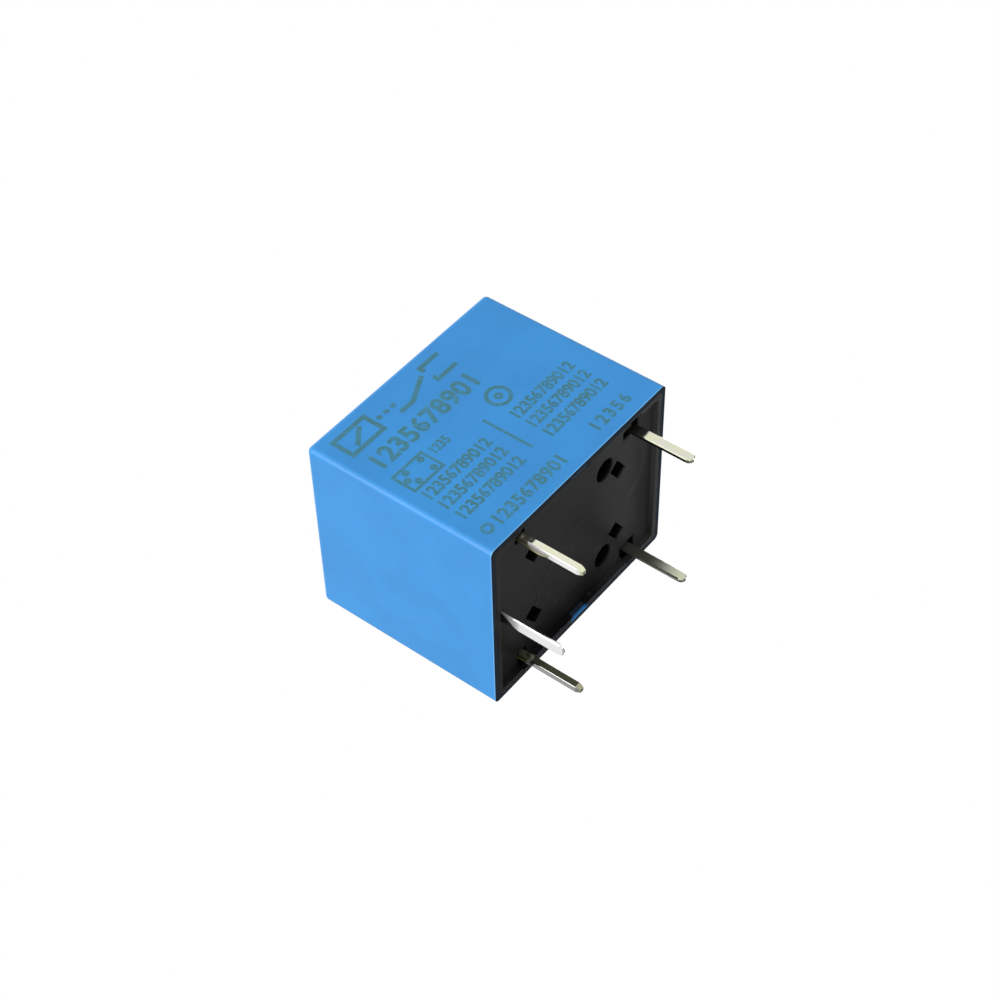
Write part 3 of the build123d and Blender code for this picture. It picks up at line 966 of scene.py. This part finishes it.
@dataclass
class BoardPins(Piece):
    """The five tinned pins, and the solder at the coil pins' roots.

    joints pairs each solder joint's node with the angle that sets where its lumps lie.
    """

    # Each pin has its own copy of the tin, lighter or darker: painted light and painted shade
    tins: tuple[TinPlate, ...] = (
        TinPlate(
            "normally_closed_terminal",
            "closed_pin_tin",
            5.72,
            tin=(0.70, 0.71, 0.61),
            yellowed=(0.74, 0.74, 0.54),
            side=(0.15, 0.15, 0.115),
            root=(0.018, 0.018, 0.015),
            root_end=-0.88,
        ),
        TinPlate(
            "normally_open_terminal",
            "open_pin_tin",
            5.72,
            tin=(0.62, 0.63, 0.56),
            yellowed=(0.60, 0.61, 0.46),
            side=(0.20, 0.20, 0.19),
            root=(0.090, 0.094, 0.074),
            root_end=-3.1,
            root_fade=1.6,
            metal=0.93,
        ),
        TinPlate(
            "com_terminal",
            "common_pin_tin",
            -8.205,
            tin=(0.95, 0.95, 0.94),
            yellowed=(0.91, 0.91, 0.88),
            side=(0.76, 0.76, 0.77),
            side_metal=0.35,
            root=(0.020, 0.020, 0.020),
            root_end=-0.28,
            root_lean=1.6,
        ),
        TinPlate(
            "coil_terminal_front",
            "coil_pin_tin",
            -6.355,
            tin=(0.80, 0.80, 0.64),
            yellowed=(0.77, 0.79, 0.55),
            side=(0.76, 0.76, 0.74),
            side_metal=0.1,
            root=(0.110, 0.105, 0.080),
            root_end=-0.52,
        ),
        TinPlate(
            "coil_terminal_rear",
            "shaded_tin",
            -6.355,
            tin=(0.38, 0.385, 0.25),
            yellowed=(0.29, 0.295, 0.18),
            side=(0.36, 0.36, 0.35),
            root=(0.110, 0.115, 0.070),
            root_end=-0.6,
            metal=0.85,
        ),
    )
    solder: FluxedSolder = FluxedSolder()
    rings: int = 14
    sides: int = 28
    lump_depth: float = 0.05
    lumps_round: int = 3
    lumps_high: int = 2
    drop_height: float = 0.85
    joints: tuple[tuple[str, float], ...] = (
        ("solder_joint_front", 0.6),
        ("solder_joint_rear", 2.1),
    )

    def drop(self, node: str, turn: float) -> Mesh:
        """Makes a rounded, slightly lumpy drop in the place of a solder joint.

        Args:
            node: the joint's node.
            turn: angle that sets where its lumps lie.

        Returns:
            The mesh.
        """
        low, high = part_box(node)
        centre = (low + high) / 2 / MM
        half = self.drop_height / 2
        centre.z = low.z / MM + half
        radius = (high.x - low.x) / 2 / MM - self.lump_depth
        shapes = bmesh.new()
        bmesh.ops.create_uvsphere(shapes, u_segments=self.sides, v_segments=self.rings, radius=1.0)
        for point in shapes.verts:
            around = self.lumps_round * math.atan2(point.co.y, point.co.x)
            swell = math.sin(around + turn) * math.cos(self.lumps_high * point.co.z + turn)
            wide = radius + self.lump_depth * swell
            point.co = Vector((point.co.x * wide, point.co.y * wide, point.co.z * half)) + centre
        return self.mesh_of(node, shapes, smooth=True)

    def build(self) -> None:
        """Dresses the pins and makes the solder."""
        for tin in self.tins:
            self.dress(tin.node, tin.material())
        solder = self.solder.material()
        for node, turn in self.joints:
            drop = self.drop(node, turn)
            joint = self.add(node + "_drop", drop, solder, Slot.SOLDER, Body.HOUSING)
            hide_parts(node)


@dataclass
class Magnet(Piece):
    """Coil, core and yoke.

    Each tail lists the corners of the wire beside a coil pin: how far it stands off the pin,
    and its height.
    """

    iron: RolledMetal = RolledMetal(
        "plated_iron",
        bright=(0.60, 0.61, 0.62),
        dark=(0.44, 0.45, 0.46),
        patch_size=1.4,
        patch_detail=4.0,
        patch_span=(0.4, 0.7),
        patch_gloss=0.2,
        rolled_size=0.12,
        rolled_stretch=(0.1, 1.0, 1.0),
        rolled_depth=0.004,
        rolled_gloss=0.0,
        edge_radius=0.06,
        roughness=0.34,
    )
    wire: WoundWire = WoundWire()
    tape: FilmTape = FilmTape()
    former: CoilFormerPlastic = CoilFormerPlastic()
    winding_radius: float = 4.35
    bore_radius: float = 2.28
    winding_low: float = 3.26
    winding_high: float = 9.3
    turns: int = 50
    sides: int = 72
    wire_radius: float = 0.06
    post_front: float = 0.87
    pin_side: float = 0.365
    under_post: float = 1.42
    front_tail: tuple[Point, ...] = (
        (0.0, 0.3),
        (0.0, -0.5),
        (0.12, -0.9),
        (0.12, -1.7),
        (-0.02, -2.1),
    )
    rear_tail: tuple[Point, ...] = ((0.0, 0.3), (0.0, -0.15))

    def _coil(self, shapes: BMesh, centre: Vector) -> None:
        """Draws the wound body, a ring whose outer side shows the turns.

        Args:
            shapes: the drawing under way.
            centre: the core's middle.
        """
        pitch = (self.winding_high - self.winding_low) / self.turns
        valley = self.winding_radius - pitch / 4
        profile = [(self.bore_radius, self.winding_low)]
        for turn in range(self.turns):
            low = self.winding_low + turn * pitch
            profile += [(valley, low), (self.winding_radius, low + pitch / 2)]
        profile += [(valley, self.winding_high), (self.bore_radius, self.winding_high)]
        rings = []
        for side in range(self.sides):
            turn = 2 * math.pi * side / self.sides
            cos, sin = math.cos(turn), math.sin(turn)
            ring = [(centre.x + r * cos, centre.y + r * sin, z) for r, z in profile]
            rings.append([shapes.verts.new(point) for point in ring])
        for here, ahead in zip(rings, rings[1:] + rings[:1]):
            for low in range(len(profile)):
                high = (low + 1) % len(profile)
                shapes.faces.new((here[low], ahead[low], ahead[high], here[high]))

    def _lead(self, shapes: BMesh, points: list[Triple]) -> None:
        """Draws one end of the wire as a smooth round tube.

        Args:
            shapes: the drawing under way.
            points: the corners that it goes round.
        """
        line = bpy.data.curves.new("lead", "CURVE")
        line.dimensions = "3D"
        line.bevel_depth = self.wire_radius
        line.bevel_resolution = 2
        line.use_fill_caps = True
        spline = line.splines.new("NURBS")
        spline.points.add(len(points) - 1)
        for control, place in zip(spline.points, points):
            control.co = (*place, 1.0)
        spline.order_u = 3
        spline.use_endpoint_u = True
        tube = self.mesh_from(line)
        shapes.from_mesh(tube)
        bpy.data.meshes.remove(tube)

    def _route(self, node: str, centre: Vector, tail: tuple[Point, ...]) -> list[Triple]:
        """Corners of one end of the wire, from the coil to its pin.

        Args:
            node: the pin's node.
            centre: the core's middle.
            tail: for each corner beside the pin, how far it stands off and its height.

        Returns:
            The corners, in order.
        """
        low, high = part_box(node)
        pin = (low + high) / 2 / MM
        side = math.copysign(1.0, pin.y)
        leaves = side * (self.winding_radius - 2 * self.wire_radius)
        over = self.winding_low + 2 * self.wire_radius
        front, back = pin.x + self.post_front, pin.x - self.pin_side
        turn = pin.y - side * self.pin_side
        return [
            (centre.x, leaves, over),
            (front, leaves, over),
            (front, turn, over),
            (front, turn, self.under_post),
            (back, turn, self.under_post),
            (back, pin.y, self.under_post),
            *((back - stand_off, pin.y, height) for stand_off, height in tail),
        ]

    def wound_wire(self) -> None:
        """Makes the winding with its two ends in place of the plain one."""
        low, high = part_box("core")
        centre = (low + high) / 2 / MM
        shapes = bmesh.new()
        self._coil(shapes, centre)
        self._lead(shapes, self._route("coil_terminal_front", centre, self.front_tail))
        self._lead(shapes, self._route("coil_terminal_rear", centre, self.rear_tail))
        mesh = self.mesh_of("wound_wire", shapes, smooth=True)
        wire = self.add("wound_wire", mesh, self.wire.material(), Slot.WIRE, Body.HOUSING)
        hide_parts("coil_winding")

    def build(self) -> Material:
        """Dresses the magnet.

        Returns:
            The iron's material, which the armature shares.
        """
        iron = self.iron.material()
        self.dress("core", iron)
        self.dress("yoke", iron)
        self.dress("coil_tape", self.tape.material())
        self.dress("bobbin", self.former.material())
        self.wound_wire()
        return iron


@dataclass
class Switch(Piece):
    """Armature, its spring leaf and the contacts.

    foot_share and bend_length give where the leaf would bend, between a share of its height
    and a length along X; nothing here bends it.
    """

    leaf: RolledMetal = RolledMetal("spring_leaf", (0.80, 0.55, 0.33), (0.62, 0.40, 0.22))
    silver: RolledMetal = RolledMetal("contact_silver", (0.88, 0.87, 0.84), (0.66, 0.65, 0.60))
    foot_share: float = 0.3
    bend_length: float = 2.5

    def build(self, iron: Material) -> None:
        """Dresses the armature and the contacts and makes the spring leaf.

        Args:
            iron: the magnet's finish.
        """
        silver = self.silver.material()
        self.dress("armature", iron)
        for node in ("moving_contact", "normally_closed_contact", "normally_open_contact"):
            self.dress(node, silver)
        self.bending_leaf()

    def bending_leaf(self) -> None:
        """Makes the spring leaf as a copy of the CAD spring, carried by neither body."""
        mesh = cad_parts["contact_spring"].data.copy()
        leaf = self.add("spring_leaf", mesh, self.leaf.material(), Slot.LEAF, None)
        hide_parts("contact_spring")
        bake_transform(leaf)


@dataclass(frozen=True)
class Lamp:
    """A soft square lamp that faces the part.

    towards is the direction from the part to it, level how bright it makes a white face that
    looks straight at it, and size the length of its side.
    """

    name: str
    towards: Triple
    level: float
    size: float


@dataclass
class Studio:
    """White floor under the pins, a soft surround, soft lamps and the camera."""

    lamps: tuple[Lamp, ...] = (
        Lamp("key_lamp", (-1.0, -0.40, 0.40), 0.82, 0.35),
        Lamp("front_lamp", (-0.30, -1.0, 0.25), 0.20, 0.40),
        Lamp("far_lamp", (0.9, 0.9, 0.25), 0.62, 0.40),
        Lamp("top_lamp", (0.1, -0.1, 1.0), 0.18, 0.50),
        Lamp("edge_lamp", (0.53, -0.43, -0.73), 0.05, 0.10),
    )
    floor_drop: float = 0.02 * MM
    floor_size: float = 1.6
    floor_fade: Span = (320.0, 80.0)
    floor_tone: Colour = (0.86, 0.86, 0.86)
    white: Colour = (1.0, 1.0, 1.0)
    surround: float = 0.62
    gloom: float = 0.20
    bright_side: Triple = (-0.35, -0.60, 0.75)
    bright_span: Span = (-0.75, 0.25)
    camera_place: Triple = (-0.076682, -0.106152, -0.055279)
    camera_aim: Triple = (0.00002, 0.00005, 0.00688)
    camera_roll: float = -60.843
    lens: float = 75.94
    sensor: float = 36.0
    nearest: float = 0.001
    farthest: float = 20.0
    lamp_distance: float = 0.5

    def floor(self) -> None:
        """Makes the floor, seen from above only, which fades into the white surround.

        It keeps no light from the part. The fade's distances are millimetres.
        """
        paint = Paint("studio_floor")
        camera = paint.node("ShaderNodeLightPath", output="Is Camera Ray")
        back = paint.node("ShaderNodeNewGeometry", output="Backfacing")
        matt = paint.node("ShaderNodeBsdfDiffuse", inputs={"Color": self.floor_tone})
        clear = paint.node("ShaderNodeBsdfTransparent")
        away = paint.node(
            "ShaderNodeVectorMath", {"operation": "LENGTH"}, {0: paint.place()}, output="Value"
        )
        seen = camera * (1.0 - back) * away.step(*self.floor_fade)
        shade = paint.node("ShaderNodeMixShader", inputs={0: seen, 1: clear, 2: matt})
        mesh = bpy.data.meshes.new("studio_floor")
        half = self.floor_size / 2
        z = CAD_BOX[0].z - self.floor_drop
        sheet = [(-half, -half, z), (half, -half, z), (half, half, z), (-half, half, z)]
        mesh.from_pydata(sheet, [], [(0, 1, 2, 3)])
        mesh.materials.append(paint.close(shade))
        linked("studio_floor", mesh)

    def world(self) -> None:
        """Lights the part softly, dimmer from below, and shows white to the camera."""
        world = bpy.data.worlds.new("surround")
        bpy.context.scene.world = world
        world.use_nodes = True
        sky = Graph(world.node_tree)
        camera = sky.node("ShaderNodeLightPath", output="Is Camera Ray")
        glossy = sky.node("ShaderNodeLightPath", output="Is Glossy Ray")
        through = sky.node("ShaderNodeLightPath", output="Is Transmission Ray")
        ahead = sky.node("ShaderNodeTexCoord", output="Generated")
        facing = sky.node(
            "ShaderNodeVectorMath",
            {"operation": "DOT_PRODUCT"},
            {0: ahead, 1: tuple(Vector(self.bright_side).normalized())},
            output="Value",
        )
        lift = self.gloom + (1.0 - self.gloom) * facing.step(*self.bright_span)
        mirrored = glossy.most(through)
        level = lift * (self.surround + (1.0 - self.surround) * mirrored)
        strength = level + camera * (1.0 - level)
        inputs = {"Color": self.white, "Strength": strength}
        shade = sky.node("ShaderNodeBackground", inputs=inputs)
        sky.node("ShaderNodeOutputWorld", inputs={"Surface": shade})

    def light(self, lamp: Lamp) -> None:
        """Adds a lamp.

        Args:
            lamp: what it is like.
        """
        centre = (CAD_BOX[0] + CAD_BOX[1]) / 2
        direction = Vector(lamp.towards).normalized()
        data = bpy.data.lights.new(lamp.name, "AREA")
        data.size = lamp.size
        data.energy = lamp.level * (math.pi * self.lamp_distance) ** 2
        made = linked(lamp.name, data)
        made.location = centre + direction * self.lamp_distance
        made.rotation_mode = "QUATERNION"
        made.rotation_quaternion = direction.to_track_quat("Z", "Y")

    def camera(self) -> None:
        """Adds the camera at the photograph's angle, rolled about its line of sight."""
        data = bpy.data.cameras.new("camera")
        data.lens = self.lens
        data.sensor_width = self.sensor
        data.clip_start, data.clip_end = self.nearest, self.farthest
        place = Vector(self.camera_place)
        ahead = (Vector(self.camera_aim) - place).normalized()
        level_right = ahead.cross(Vector((0, 0, 1))).normalized()
        level_up = level_right.cross(ahead)
        roll = math.radians(self.camera_roll)
        right = level_right * math.cos(roll) + level_up * math.sin(roll)
        up = level_up * math.cos(roll) - level_right * math.sin(roll)
        turn = Matrix((right, up, -ahead)).transposed()
        made = linked("camera", data)
        made.matrix_world = Matrix.Translation(place) @ turn.to_4x4()
        bpy.context.scene.camera = made

    def build(self) -> None:
        """Sets up the whole studio."""
        bpy.context.scene.view_settings.view_transform = "Standard"
        self.floor()
        self.world()
        for lamp in self.lamps:
            self.light(lamp)
        self.camera()
        LOG.info("studio: floor, surround, %d lamps and camera", len(self.lamps))


def main() -> None:
    """Builds the relay's looks in order, then the studio."""
    logging.basicConfig(level=logging.INFO, format="%(name)s %(message)s")
    Case().build()
    haze = BurntMark("marking_haze", burnt=(0.028, 0.192, 0.275), blue=(0.025, 0.222, 0.400))
    FaceMarking("marking_haze", haze, bold=0.38, fine=0.24, swell=0.055, proud=0.005).build()
    burnt = BurntMark("burnt_mark", burnt=(0.026, 0.150, 0.192), blue=(0.030, 0.205, 0.340))
    FaceMarking("face_marking", burnt, bold=0.24, fine=0.12, swell=0.006, proud=0.010).build()
    BoardPins().build()
    iron = Magnet().build()
    Switch().build(iron)
    Studio().build()


if __name__ == "__main__":
    main()
